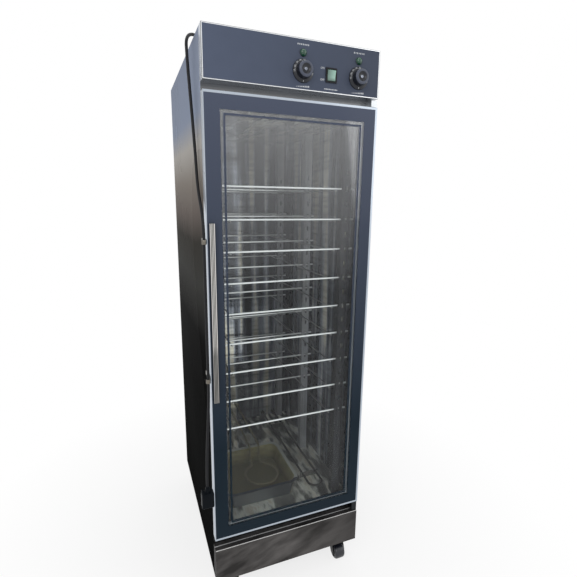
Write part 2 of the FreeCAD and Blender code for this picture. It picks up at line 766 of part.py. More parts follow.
def make_casters():
    plate_low = caster_height - caster_plate
    crown_top = plate_low - crown_gap
    corners = {
        "front_left": (-half_width + caster_inset_x, caster_inset_depth),
        "front_right": (half_width - caster_inset_x, caster_inset_depth),
        "rear_left": (-half_width + caster_inset_x, body_back - caster_inset_depth),
        "rear_right": (half_width - caster_inset_x, body_back - caster_inset_depth),
    }
    plates = []
    for name, (x, depth) in corners.items():
        half = caster_plate_size / 2
        # The front plates stop at the body front, level with the base plate above them.
        front = max(depth - half, body_front)
        back = min(depth + half, body_back)
        plate = block(x - half, x + half, front, back, plate_low, caster_height)
        kingpin = rod(kingpin_radius, plate_low - crown_bottom - 2, x, depth, crown_bottom + 2, Z_AXIS)
        plates.append(plate.fuse(kingpin).removeSplitter())
        crown = rod(crown_radius, crown_top - crown_bottom, x, depth, crown_bottom, Z_AXIS)
        socket = rod(kingpin_radius + kingpin_clearance, crown_top, x, depth, crown_bottom + 1, Z_AXIS)
        axle_depth = depth - caster_trail
        leg_inner = wheel_width / 2 + wheel_side_gap
        leg_outer = leg_inner + fork_sheet
        outline = [
            (depth - 13, crown_bottom + 3),
            (depth + 13, crown_bottom + 3),
            (axle_depth + 9, wheel_radius - 5),
            (axle_depth - 9, wheel_radius - 5),
            (axle_depth - 9, wheel_radius + 7),
        ]
        right_leg = prism_x(outline, x + leg_inner, x + leg_outer)
        left_leg = prism_x(outline, x - leg_outer, x - leg_inner)
        axle = rod(axle_radius, 2 * leg_outer, x - leg_outer, axle_depth, wheel_radius, X_AXIS)
        fork = crown.fuse([right_leg, left_leg, axle]).removeSplitter()
        nodes[name + "_caster_fork"] = fork.cut(socket)
        wheel = rod(wheel_radius, wheel_width, x - wheel_width / 2, axle_depth, wheel_radius, X_AXIS)
        wheel = wheel.makeFillet(wheel_round, [edge for edge in wheel.Edges if edge.Closed])
        bore = rod(axle_radius + axle_clearance, 2 * wheel_width, x - wheel_width, axle_depth, wheel_radius, X_AXIS)
        nodes[name + "_caster_wheel"] = wheel.cut(bore)
    nodes["caster_plates"] = Part.makeCompound(plates)


make_casing()
make_liner()
make_control_panel()
make_skirt()
make_door()
make_rack()
make_pan()
make_heaters()
make_cord()
make_plug()
make_casters()

os.makedirs("parts", exist_ok=True)
for node_name, shape in nodes.items():
    if not shape.isValid():
        raise ValueError(node_name + " is not a valid shape")
    shape.exportStep("parts/" + node_name + ".step")
print(len(nodes), "nodes")
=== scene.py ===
import math

import bmesh
import bpy
from bpy.props import FloatProperty, IntProperty, PointerProperty, StringProperty
from mathutils import Matrix, Vector


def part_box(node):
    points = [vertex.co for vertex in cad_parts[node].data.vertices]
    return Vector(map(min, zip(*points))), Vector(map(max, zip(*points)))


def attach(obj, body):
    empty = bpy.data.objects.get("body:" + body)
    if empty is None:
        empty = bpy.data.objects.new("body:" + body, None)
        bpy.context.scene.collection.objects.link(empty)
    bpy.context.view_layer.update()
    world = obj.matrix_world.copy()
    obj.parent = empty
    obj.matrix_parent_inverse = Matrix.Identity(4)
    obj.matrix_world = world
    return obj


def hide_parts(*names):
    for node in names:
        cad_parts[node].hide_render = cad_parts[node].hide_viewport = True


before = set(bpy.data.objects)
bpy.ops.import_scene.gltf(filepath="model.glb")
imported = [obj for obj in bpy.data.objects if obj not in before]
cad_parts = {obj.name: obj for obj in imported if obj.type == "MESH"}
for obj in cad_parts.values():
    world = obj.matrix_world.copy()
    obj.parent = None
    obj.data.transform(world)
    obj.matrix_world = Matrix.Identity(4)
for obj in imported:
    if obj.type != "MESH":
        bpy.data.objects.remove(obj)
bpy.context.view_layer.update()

bl_info = {
    "name": "Proofing box dresser",
    "version": (1, 0, 0),
    "blender": (4, 5, 0),
    "location": "3D View > Sidebar > Proofing box",
    "description": "Finishes, glazing, controls, shelves and cord of a proofing box",
    "category": "Object",
}

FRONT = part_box("door_frame")[0].y
MM = 0.001
TO_FRONT = Matrix.Rotation(math.radians(90), 4, "X")


# Sizes and colours that a user may change

class CabinetLooks(bpy.types.PropertyGroup):
    # The three side colours are stops of a painted reflection: pale and cool near the roof, near black near the
    # floor.
    side_upper: StringProperty(
        name="Side, upper", description="Polished side panel near the roof, sRGB hex", default="#BCC7DD")
    side_middle: StringProperty(
        name="Side, middle", description="Polished side panel at mid height, sRGB hex", default="#E2DED8")
    side_lower: StringProperty(
        name="Side, lower", description="Polished side panel near the floor, sRGB hex", default="#0E0F0F")
    front_steel: StringProperty(
        name="Front steel", description="Brushed steel of the kick plate, sRGB hex", default="#535150")
    hood_steel: StringProperty(
        name="Hood steel", description="Brushed steel of the hood, sRGB hex", default="#B4BAC2")
    liner_steel: StringProperty(
        name="Liner steel", description="Middle tone of the inner walls, sRGB hex", default="#777B85")
    edge_softness: FloatProperty(
        name="Edge softness", description="Radius of folded sheet edges", default=0.0004, unit="LENGTH")


class ControlLooks(bpy.types.PropertyGroup):
    fascia: StringProperty(name="Fascia", description="Enamel colour, sRGB hex", default="#545D71")
    ink: StringProperty(name="Ink", description="Printed marks, sRGB hex", default="#D9DCE0")
    lens: StringProperty(name="Lamp lens", description="Lamp lens, sRGB hex", default="#08442F")
    rocker: StringProperty(name="Rocker", description="Rocker lens, sRGB hex", default="#93B8AA")
    digit_height: FloatProperty(
        name="Digit height", description="Height of the dial numbers", default=0.0042, unit="LENGTH")
    dial_step: IntProperty(name="Dial step", description="Step between dial numbers", default=10)
    dial_count: IntProperty(name="Dial numbers", description="How many numbers a dial has", default=9)


class DoorLooks(bpy.types.PropertyGroup):
    border: StringProperty(name="Border", description="Printed border, sRGB hex", default="#132430")
    aluminium: StringProperty(name="Aluminium", description="Door frame, sRGB hex", default="#B8C1CC")
    border_width: FloatProperty(
        name="Border width", description="From the door's edge to the clear glass", default=0.042, unit="LENGTH")
    line_gap: FloatProperty(
        name="Line gap", description="Clear strip between border and inner line", default=0.0085, unit="LENGTH")
    line_width: FloatProperty(
        name="Line width", description="Printed line inside the border", default=0.005, unit="LENGTH")


class ShelfLooks(bpy.types.PropertyGroup):
    rod_radius: FloatProperty(name="Rod radius", description="Cross rods", default=0.003, unit="LENGTH")
    wire_radius: FloatProperty(name="Wire radius", description="Depth wires", default=0.002, unit="LENGTH")


class StageLooks(bpy.types.PropertyGroup):
    floor: StringProperty(name="Floor", description="Floor colour, sRGB hex", default="#F7F7F7")
    lens: FloatProperty(name="Lens", description="Camera lens in millimetres", default=25.54)


# Small helpers

RANGE, MATH, RAMP = "ShaderNodeMapRange", "ShaderNodeMath", "ShaderNodeValToRGB"
BUMP, AXES = "ShaderNodeBump", "ShaderNodeSeparateXYZ"
BRUSHED = 0.012
SIZE_PER_DIGIT_HEIGHT = 1.4


def linear(code):
    """sRGB hex to linear colour."""
    channels = [int(code[i:i + 2], 16) / 255 for i in (1, 3, 5)]
    return [c / 12.92 if c <= 0.04045 else ((c + 0.055) / 1.055) ** 2.4 for c in channels] + [1.0]


def shade(code, factor):
    return [c * factor for c in linear(code)[:3]] + [1.0]


def add(tree, kind, inputs=(), out=0, stops=(), **settings):
    """Adds a node and gives its first output, the output called out, or the node itself if out is None. Inputs go by
    name or in the node's own order: a socket is linked, any other value is set. A colour ramp takes its stops as
    (position, colour)."""
    node = tree.nodes.new(kind)
    for key, value in settings.items():
        setattr(node, key, value)
    for key, value in inputs.items() if isinstance(inputs, dict) else enumerate(inputs):
        if isinstance(value, bpy.types.NodeSocket):
            tree.links.new(value, node.inputs[key])
        else:
            node.inputs[key].default_value = value
    if stops:
        bands = node.color_ramp.elements
        while len(bands) < len(stops):
            bands.new(0.5)
        for band, (position, colour) in zip(bands, stops):
            band.position, band.color = position, colour
    return node if out is None else node.outputs[out]


def finish(shader):
    """Makes a material from a function that takes a tree and its Object coordinates. The function gives the settings
    of a Principled surface, or a shader of its own."""
    def named(name, *values, **options):
        material = bpy.data.materials.new(name)
        material.use_nodes = True
        tree = material.node_tree
        tree.nodes.clear()
        surface = shader(tree, add(tree, "ShaderNodeTexCoord", out="Object"), *values, **options)
        if isinstance(surface, dict):
            surface = add(tree, "ShaderNodeBsdfPrincipled", surface)
        add(tree, "ShaderNodeOutputMaterial", {"Surface": surface}, None)
        return material

    return named


def grain(tree, place, size_mm, stretch=(1.0, 1.0, 1.0), detail=3.0):
    """Noise of a size in millimetres, drawn out along an axis as brushing, rolling or wiping leave it."""
    mapped = add(tree, "ShaderNodeMapping", {"Vector": place, "Scale": stretch})
    return add(tree, "ShaderNodeTexNoise", {"Vector": mapped, "Scale": 1 / (size_mm * MM), "Detail": detail})


def rays_that_see(tree):
    """1 for camera, glossy and transmission rays, so that metal and glass show the white surroundings too."""
    path = add(tree, "ShaderNodeLightPath", out=None).outputs
    seen = add(tree, MATH, (path["Is Camera Ray"], path["Is Glossy Ray"]), operation="MAXIMUM")
    return add(tree, MATH, (seen, path["Is Transmission Ray"]), operation="MAXIMUM")


def layered(tree, tone, *layers):
    """Lays colours over a tone, each by its own mask."""
    for mask, colour in layers:
        tone = add(tree, "ShaderNodeMix", {0: mask, 6: tone, 7: colour}, 2, data_type="RGBA")
    return tone


def distance_from(tree, value, centre):
    """How far a coordinate lies from a line or plane."""
    return add(tree, MATH, (add(tree, MATH, (value, centre), operation="SUBTRACT"),), operation="ABSOLUTE")


# Finishes

def brushed_tone(tree, place, code, direction, line_mm, contrast):
    """Fine lines along one axis under cloudy handling marks: gives the tone, the lines and the clouds."""
    lines = grain(tree, place, line_mm, [BRUSHED if axis == direction else 1.0 for axis in "XYZ"])
    clouds = grain(tree, place, 111.0, detail=4.0)
    marks = add(tree, RANGE, (clouds, 0, 1, 0, 0.35))
    tone = layered(tree, shade(code, 1 - contrast), (lines, shade(code, 1 + contrast)), (marks, shade(code, 0.72)))
    return tone, lines, clouds


@finish
def brushed_metal(tree, place, code, direction, roughness, line_mm=0.8, contrast=0.18, bump=0.06):
    """Rolled sheet or extrusion with fine lines along one axis."""
    tone, lines, clouds = brushed_tone(tree, place, code, direction, line_mm, contrast)
    return {"Base Color": tone, "Metallic": 1.0,
            "Normal": add(tree, BUMP, {"Height": lines, "Strength": bump, "Distance": 0.3 * MM}),
            "Roughness": add(tree, RANGE, (clouds, 0, 1, roughness - 0.06, roughness + 0.08))}


@finish
def moulded(tree, place, code, roughness, texture_mm=0.6, bump=0.08, gloss=0.25, metallic=0.0, variation=0.12):
    """Moulded, cast or sprayed surface with a fine even texture."""
    fine = grain(tree, place, texture_mm)
    broad = grain(tree, place, 33.3)
    tone = layered(tree, shade(code, 1 - variation), (broad, shade(code, 1 + variation)))
    return {"Base Color": tone, "Metallic": metallic, "Specular IOR Level": 0.5 if metallic else gloss,
            "Normal": add(tree, BUMP, {"Height": fine, "Strength": bump, "Distance": 0.2 * MM}),
            "Roughness": add(tree, RANGE, (broad, 0, 1, roughness - 0.05, roughness + 0.05))}


@finish
def by_height(tree, place, low_code, high_code, low, high, roughness, metallic, gloss=0.5):
    """A surface whose tone changes between two heights."""
    rise = add(tree, RANGE, (add(tree, AXES, (place,), "Z"), low, high))
    fine = add(tree, RANGE, (grain(tree, place, 3.85), 0, 1, 0, 0.12))
    tone = layered(tree, linear(low_code), (rise, linear(high_code)), (fine, linear("#101215")))
    return {"Base Color": tone, "Metallic": metallic, "Roughness": roughness, "Specular IOR Level": gloss}


@finish
def sheet_with_painted_reflection(tree, place, stops, waver_height, streak=0.0):
    # Mirror-rolled stainless with a painted reflection: long soft bands, cool and pale above, dark towards the floor.
    waver = grain(tree, place, 385.0, (1.0, 1.0, 0.5))
    drift = add(tree, RANGE, (waver, 0, 1, -waver_height, waver_height))
    height = add(tree, MATH, (add(tree, AXES, (place,), "Z"), drift), operation="ADD")
    low, high = stops[0][0], stops[-1][0]
    level = add(tree, RANGE, (height, low, high))
    bands = add(tree, RAMP, (level,), stops=[((stop - low) / (high - low), linear(code)) for stop, code in stops])
    lines = add(tree, RANGE, (grain(tree, place, 1.43, (1.0, 1.0, 0.01)), 0, 1, 0, 0.1))
    handled = add(tree, RANGE, (grain(tree, place, 38.5, (1.0, 1.0, 0.12), 5.0), 0, 1, 0, streak))
    return {"Base Color": layered(tree, bands, (lines, linear("#33312F")), (handled, linear("#3A3835"))),
            "Metallic": add(tree, RANGE, (level, 0, 1, 0.05, 0.5)),
            "Specular Tint": linear("#1A1A1B"), "Specular IOR Level": 0.0,
            "Roughness": add(tree, RANGE, (waver, 0, 1, 0.2, 0.34))}


@finish
def hood_sheet(tree, place, code):
    # Brushed stainless hood: level lines, a lip round the fascia with a near-white strip next to the fascia and
    # painted shade along its outer edge, and painted reflection bands on its folded sides.
    low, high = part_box("control_hood")
    axes = add(tree, AXES, (place,), None).outputs
    tone, lines, clouds = brushed_tone(tree, place, code, "X", 0.8, 0.18)
    fold_depth = 20 * MM
    depth = add(tree, RANGE, (axes["Y"], low.y, low.y + fold_depth))
    # Painted reflection bands across the folded sides: dark, then bright, then blue-grey.
    painted_fold_light = ((0.0, "#4A4D52"), (0.2, "#4A4D52"), (0.28, "#E2E6EA"), (0.55, "#E2E6EA"), (0.7, "#8F99AA"),
             (1.0, "#98A2B2"))
    bands = add(tree, RAMP, (depth,), stops=[(stop, linear(band)) for stop, band in painted_fold_light])
    side = add(tree, RANGE, (distance_from(tree, axes["X"], 0.0), high.x - 1.0 * MM, high.x - 0.6 * MM))
    insets = []
    for axis, first, last in (("X", low.x, high.x), ("Z", low.z, high.z)):
        away = distance_from(tree, axes[axis], (first + last) / 2)
        insets.append(add(tree, MATH, ((last - first) / 2, away), operation="SUBTRACT"))
    inset = add(tree, MATH, insets, operation="MINIMUM")
    # Near-white strip next to the fascia; the outer edge of the lip is painted shade.
    pale_rim = add(tree, RANGE, (inset, 0.7 * MM, 1.2 * MM))
    lip = layered(tree, linear("#5A5D63"), (pale_rim, linear("#F2F4F6")))
    front = add(tree, RANGE, (axes["Y"], low.y + 0.8 * MM, low.y + 0.4 * MM))
    return {"Base Color": layered(tree, tone, (side, bands), (front, lip)), "Metallic": 0.9,
            "Normal": add(tree, BUMP, {"Height": lines, "Strength": 0.06, "Distance": 0.3 * MM}),
            "Roughness": add(tree, RANGE, (clouds, 0, 1, 0.2, 0.34))}


@finish
def slate_enamel(tree, place, code):
    # Stove enamel on aluminium: slate blue with a faint orange peel, and painted shade that darkens it from left to
    # right, towards the dials.
    low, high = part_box("control_fascia")
    peel = grain(tree, place, 1.515)
    broad = grain(tree, place, 33.3)
    # Painted shade across the fascia, darker to the right.
    painted_shade_across = add(tree, RANGE, (add(tree, AXES, (place,), "X"), low.x, high.x))
    cloudy = add(tree, RANGE, (broad, 0, 1, 0, 0.12))
    tone = layered(tree, shade(code, 1.08), (painted_shade_across, shade(code, 0.66)), (cloudy, linear("#1E222B")))
    return {"Base Color": tone, "Specular IOR Level": 0.2,
            "Normal": add(tree, BUMP, {"Height": peel, "Strength": 0.05, "Distance": 0.2 * MM}),
            "Roughness": add(tree, RANGE, (broad, 0, 1, 0.37, 0.47))}


@finish
def kick_steel(tree, place, code):
    # Brushed stainless that is scuffed by feet: level lines, broad slanting smears, painted shade that darkens it
    # away from a spot near its left end, and painted highlights along two folded edges on top.
    low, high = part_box("kick_plate")
    axes = add(tree, AXES, (place,), None).outputs
    lines = grain(tree, place, 1.11, (BRUSHED, 1.0, 1.0))
    turned = add(tree, "ShaderNodeMapping", {"Vector": place, "Rotation": (0, math.radians(18), 0)})
    smears = grain(tree, turned, 58.8, (0.45, 1.0, 1.5), 5.0)
    strong = add(tree, RANGE, (smears, 0, 1, -0.9, 1.9))
    brightest = low.x + 120 * MM
    # Painted shade: darker away from the brightest spot.
    painted_falloff = add(tree, RANGE, (distance_from(tree, axes["X"], brightest), 0.1, 0.36, 0, 0.6))
    fine = add(tree, RANGE, (lines, 0, 1, 0, 0.35))
    # Painted highlights along the front edge and a second line 18 mm back on the top face.
    upper = add(tree, RANGE, (axes["Z"], high.z - 1.7 * MM, high.z - 0.9 * MM))
    front = add(tree, RANGE, (axes["Y"], low.y + 2.0 * MM, low.y + 1.1 * MM))
    second_fold = low.y + 18 * MM
    second = add(tree, RANGE, (distance_from(tree, axes["Y"], second_fold), 2.0 * MM, 1.2 * MM))
    either = add(tree, MATH, (front, second), operation="MAXIMUM")
    painted_fold_light = add(tree, MATH, (either, upper), operation="MULTIPLY")
    tone = layered(tree, shade(code, 0.45), (strong, shade(code, 1.95)), (painted_falloff, shade(code, 0.5)),
                   (fine, shade(code, 0.55)), (painted_fold_light, linear("#F4F3F2")))
    return {"Base Color": tone, "Metallic": 0.6, "Specular Tint": linear("#404040"), "Specular IOR Level": 0.1,
            "Normal": add(tree, BUMP, {"Height": lines, "Strength": 0.06, "Distance": 0.3 * MM}),
            "Roughness": add(tree, RANGE, (smears, 0, 1, 0.3, 0.45))}


@finish
def ridged_aluminium(tree, place, code):
    # Ridged extrusion: pale satin crests with painted shade in the recesses behind them, darker over its lower part.
    low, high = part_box("door_handle")
    axes = add(tree, AXES, (place,), None).outputs
    lines = grain(tree, place, 0.833, (1.0, 1.0, BRUSHED))
    wear = add(tree, RANGE, (grain(tree, place, 40.0, (1.0, 1.0, 0.3)), 0, 1, 0, 0.4))
    length = high.z - low.z
    fall = add(tree, RANGE, (axes["Z"], low.z + 0.28 * length, low.z + 0.34 * length))
    # Painted shade behind the front crests.
    painted_groove_shade = add(tree, RANGE, (axes["Y"], low.y + 0.3 * MM, low.y + 1.2 * MM))
    tone = layered(tree, shade(code, 0.42), (fall, linear(code)), (wear, shade(code, 0.7)),
                   (painted_groove_shade, linear("#2C2B2B")))
    return {"Base Color": tone, "Metallic": 0.7, "Roughness": 0.3,
            "Normal": add(tree, BUMP, {"Height": lines, "Strength": 0.03, "Distance": 0.2 * MM})}


@finish
def mirror_liner(tree, place, code, stretch):
    # Bright-rolled liner with painted reflections: upright light and dark streaks, level lines and soft images of the
    # rods.
    patches = grain(tree, place, 143.0, (1.0, 1.0, 0.8), 2.0)
    bands = []
    for stop, factor, warmth in ((0.38, 0.1, 0.0), (0.46, 0.4, 0.0), (0.51, 1.2, 0.0), (0.55, 2.6, 0.2),
                                 (0.59, 6.0, 0.7), (0.64, 9.5, 1.0)):
        pair = zip(shade(code, factor), shade("#605C53", factor))
        bands.append((stop, [cool + (warm - cool) * warmth for cool, warm in pair]))
    streaks = add(tree, RAMP, (grain(tree, place, 47.6, stretch),), stops=bands)
    dim = add(tree, RANGE, (patches, 0, 1, -0.4, 1.1))
    # Painted reflections of the rods as level lines.
    level = add(tree, RANGE, (grain(tree, place, 10.53, (0.05, 0.05, 1.0), 2.0), 0, 1, -0.6, 0.9))
    return {"Base Color": layered(tree, streaks, (dim, shade(code, 0.5)), (level, shade(code, 0.25))),
            "Metallic": 0.5, "Specular IOR Level": 0.2,
            "Roughness": add(tree, RANGE, (patches, 0, 1, 0.04, 0.12))}


@finish
def post_steel(tree, place, code, front_code):
    # Folded sheet posts with upright lines: pale inside the box, dark where the front pair turns from the light.
    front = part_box("right_rack_posts")[0].y
    inward = add(tree, RANGE, (add(tree, AXES, (place,), "Y"), front + 50 * MM, front + 200 * MM))
    lines = add(tree, RANGE, (grain(tree, place, 3.03, (1.0, 1.0, BRUSHED)), 0, 1, -0.3, 0.9))
    return {"Base Color": layered(tree, linear(front_code), (inward, linear(code)), (lines, shade(code, 0.2))),
            "Metallic": 0.4, "Roughness": 0.2, "Specular IOR Level": 0.2}


@finish
def stained_pan(tree, place, code):
    # Pressed pan: olive water stain inside, darker towards the floor, a paler rim and a dark polished front.
    low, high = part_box("water_pan")
    axes = add(tree, AXES, (place,), None).outputs
    marks = grain(tree, place, 25.0, (1.0, 1.0, 2.5), 5.0)
    rise = add(tree, RANGE, (axes["Z"], low.z, high.z))
    stain = add(tree, RANGE, (marks, 0, 1, -0.3, 1.0))
    rim = add(tree, RANGE, (axes["Z"], high.z - 1.8 * MM, high.z - 1.2 * MM))
    outside = add(tree, RANGE, (axes["Y"], low.y + 21.5 * MM, low.y + 20.5 * MM))
    tone = layered(tree, shade(code, 0.45), (rise, shade(code, 1.5)), (stain, shade(code, 0.35)),
                   (rim, linear("#BFC0B8")), (outside, linear("#5A5E63")))
    return {"Base Color": tone, "Metallic": add(tree, RANGE, (outside, 0, 1, 0.25, 0.9)),
            "Roughness": add(tree, RANGE, (marks, 0, 1, 0.22, 0.42))}


@finish
def clear_glass(tree, place, low_sheen, high_sheen, edge_sheen):
    # Float glass: see-through, with a mirror sheen that is stronger towards the top and at a slant. The slant counts
    # the same from both faces, so that a pane never turns opaque from inside.
    haze = grain(tree, place, 455.0, (1.6, 1.0, 0.5))
    through = add(tree, "ShaderNodeBsdfTransparent", {"Color": linear("#FDFEFE")})
    sheen = add(tree, "ShaderNodeBsdfGlossy", {
        "Color": linear("#FBFCFF"), "Roughness": add(tree, RANGE, (haze, 0, 1, 0.03, 0.08))})
    sheen_from, sheen_to = 1.0, 1.5
    rise = add(tree, RANGE, (add(tree, AXES, (place,), "Z"), sheen_from, sheen_to, low_sheen, high_sheen))
    cloudy = add(tree, RANGE, (haze, 0, 1, 0.4, 1.6))
    film = add(tree, MATH, (rise, cloudy), operation="MULTIPLY")
    facing = add(tree, "ShaderNodeLayerWeight", {"Blend": 0.5}, "Facing")
    steep = add(tree, MATH, (facing, 5.0), operation="POWER")
    steep = add(tree, MATH, (steep, edge_sheen), operation="MULTIPLY")
    share = add(tree, MATH, (film, steep), operation="ADD")
    return add(tree, "ShaderNodeMixShader", (share, through, sheen))


@finish
def lens_plastic(tree, place, code):
    # Tinted acrylic lens: wet gloss over a deep colour, lighter where 3 mm ribs gather light.
    ribs = add(tree, "ShaderNodeTexVoronoi", {"Vector": place, "Scale": 1 / (3.0 * MM)})
    tone = layered(tree, shade(code, 0.7), (ribs, shade(code, 1.6)))
    return {"Base Color": tone, "Roughness": 0.12, "IOR": 1.49, "Coat Weight": 0.6, "Emission Color": linear(code),
            "Emission Strength": 0.05}


@finish
def rocker_lens(tree, place, code):
    # Pale acrylic rocker: painted shade in deep green at its left and lower edges, and painted light that makes the
    # rest paler towards the right.
    low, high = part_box("switch_rocker")
    axes = add(tree, AXES, (place,), None).outputs
    across = add(tree, RANGE, (axes["X"], low.x + 4 * MM, high.x - 4 * MM))
    rise = add(tree, RANGE, (axes["Z"], low.z + 1 * MM, low.z + 9 * MM))
    ribs = add(tree, "ShaderNodeTexVoronoi", {"Vector": place, "Scale": 1 / (4.0 * MM)})
    ribbed = add(tree, RANGE, (ribs, 0, 1, 0, 0.25))
    # Painted light across the rocker, paler to the right, over painted shade at its left and lower edges.
    painted_lit_face = layered(tree, shade(code, 0.5), (across, shade(code, 1.25)))
    tone = layered(tree, shade(code, 0.35), (rise, painted_lit_face), (ribbed, shade(code, 0.6)))
    return {"Base Color": tone, "Roughness": 0.15, "IOR": 1.49, "Coat Weight": 0.3, "Emission Color": tone,
            "Emission Strength": 0.06}


@finish
def paper_sweep(tree, place, code):
    # Matt paper sweep: an even pale ground that keeps a soft shadow.
    paper = add(tree, "ShaderNodeBsdfDiffuse", {"Color": linear(code)})
    white = add(tree, "ShaderNodeEmission", {"Color": (1, 1, 1, 1), "Strength": 1.0})
    away = add(tree, "ShaderNodeVectorMath", (place,), "Value", operation="LENGTH")
    fade = add(tree, RANGE, (away, 0.3, 1.2, 0.78, 1.0))
    share = add(tree, MATH, (fade, rays_that_see(tree)), operation="MULTIPLY")
    return add(tree, "ShaderNodeMixShader", (share, paper, white))


# Meshes

def placed(name, data):
    """Puts an object with its data in the scene."""
    piece = bpy.data.objects.new(name, data)
    bpy.context.scene.collection.objects.link(piece)
    return piece


def realised(carrier):
    """Gives the evaluated mesh of an object and removes the object."""
    bpy.context.view_layer.update()
    mesh = bpy.data.meshes.new_from_object(carrier.evaluated_get(bpy.context.evaluated_depsgraph_get()))
    bpy.data.objects.remove(carrier)
    return mesh


def closed_mesh(name, form):
    """Turns a form into a mesh whose faces look outwards."""
    bmesh.ops.recalc_face_normals(form, faces=form.faces[:])
    mesh = bpy.data.meshes.new(name)
    form.to_mesh(mesh)
    form.free()
    return mesh


def front_circle(name):
    """Centre (x, z) of a round node, as seen from the front, and its radius in millimetres."""
    low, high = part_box(name)
    return (low.x + high.x) / 2, (low.z + high.z) / 2, (high.x - low.x) / 2 / MM


def dress(name, mesh, materials, body, slot, *nodes):
    """A finished piece that takes the given materials, rides on a body and stands for CAD nodes. The slot is not
    used.
    """
    for material in materials:
        mesh.materials.append(material)
    piece = placed(name, mesh)
    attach(piece, body)
    if nodes:
        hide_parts(*nodes)


def smooth_by_angle(mesh, degrees=35):
    """Shades smooth and keeps the edges sharper than the angle crisp."""
    form = bmesh.new()
    form.from_mesh(mesh)
    limit = math.radians(degrees)
    for face in form.faces:
        face.smooth = True
    for edge in form.edges:
        edge.smooth = len(edge.link_faces) == 2 and edge.calc_face_angle(0.0) < limit
    form.to_mesh(mesh)
    form.free()


def lathe(name, profile, origin, axis, segments=64):
    """Turns rings of (radius, height, material index), in millimetres, about an axis. A radius of 0 is a pole."""
    form = bmesh.new()
    turn = Vector((0, 0, 1)).rotation_difference(Vector(axis)).to_matrix()
    rings = []
    for radius, height, _ in profile:
        ring = []
        for step in range(segments if radius else 1):
            angle = 2 * math.pi * step / segments
            point = Vector((radius * math.cos(angle), radius * math.sin(angle), height)) * MM
            ring.append(form.verts.new(Vector(origin) + turn @ point))
        rings.append(ring)
    for lower, upper, entry in zip(rings, rings[1:], profile):
        for step in range(segments):
            after = (step + 1) % segments
            corners = [lower[step % len(lower)], lower[after % len(lower)]]
            corners += [upper[after % len(upper)], upper[step % len(upper)]]
            form.faces.new(list(dict.fromkeys(corners))).material_index = entry[2]
    bmesh.ops.remove_doubles(form, verts=form.verts[:], dist=0.000001)
    mesh = closed_mesh(name, form)
    smooth_by_angle(mesh)
    return mesh


def flat_marks(name, outlines, depth, thickness):
    """Extrudes closed (x, z) outlines in millimetres into thin marks that face the front."""
    form = bmesh.new()
    for outline in outlines:
        back, front = ([form.verts.new((x * MM, y, z * MM)) for x, z in outline] for y in (depth, depth - thickness))
        form.faces.new(back)
        form.faces.new(list(reversed(front)))
        for step in range(len(outline)):
            after = (step + 1) % len(outline)
            form.faces.new((back[step], front[step], front[after], back[after]))
    return closed_mesh(name, form)


def text_outline_mesh(words, height, place, thickness):
    """Plain text as a thin mesh, put in place by a matrix."""
    curve = bpy.data.curves.new("mark", "FONT")
    curve.body = words
    curve.size = height * SIZE_PER_DIGIT_HEIGHT
    curve.align_x = curve.align_y = "CENTER"
    curve.extrude = thickness / 2
    curve.resolution_u = 2
    mesh = realised(placed("mark", curve))
    bpy.data.curves.remove(curve)
    mesh.transform(place)
    return mesh


def join_meshes(name, meshes):
    form = bmesh.new()
    for mesh in meshes:
        form.from_mesh(mesh)
        bpy.data.meshes.remove(mesh)
    joined = bpy.data.meshes.new(name)
    form.to_mesh(joined)
    form.free()
    return joined


def paint(material, *names):
    """Gives carried-over CAD nodes a material."""
    for name in names:
        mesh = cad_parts[name].data
        mesh.materials.clear()
        mesh.materials.append(material)


def soften(width, *names):
    """Rounds the folded edges of CAD nodes a little so that they catch light."""
    for name in names:
        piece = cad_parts[name]
        weld = piece.modifiers.new("join corners", "WELD")
        weld.merge_threshold = 0.00001
        bevel = piece.modifiers.new("soft edges", "BEVEL")
        bevel.width = width
        bevel.segments = 2
        bevel.limit_method = "ANGLE"
        bevel.angle_limit = math.radians(40)


def node_mesh(name, tree_inputs, build):
    """Runs a Geometry Nodes tree on an empty mesh and returns the realised mesh."""
    tree = bpy.data.node_groups.new(name, "GeometryNodeTree")
    tree.interface.new_socket("Geometry", in_out="OUTPUT", socket_type="NodeSocketGeometry")
    values = {}
    for label, (kind, value) in tree_inputs.items():
        socket = tree.interface.new_socket(label, in_out="INPUT", socket_type=kind)
        values[socket.identifier] = value
    given = add(tree, "NodeGroupInput", out=None).outputs
    add(tree, "NodeGroupOutput", {"Geometry": build(tree, given)}, None)
    carrier = placed(name, bpy.data.meshes.new(name))
    modifier = carrier.modifiers.new(name, "NODES")
    modifier.node_group = tree
    for identifier, value in values.items():
        modifier[identifier] = value
    return realised(carrier)


def finished(tree, geometry, material):
    """Realises instances and sets the material, as the end of a tree."""
    solid = add(tree, "GeometryNodeRealizeInstances", {"Geometry": geometry})
    return add(tree, "GeometryNodeSetMaterial", {"Geometry": solid, "Material": material})


# Operators, one for each piece or group of like pieces

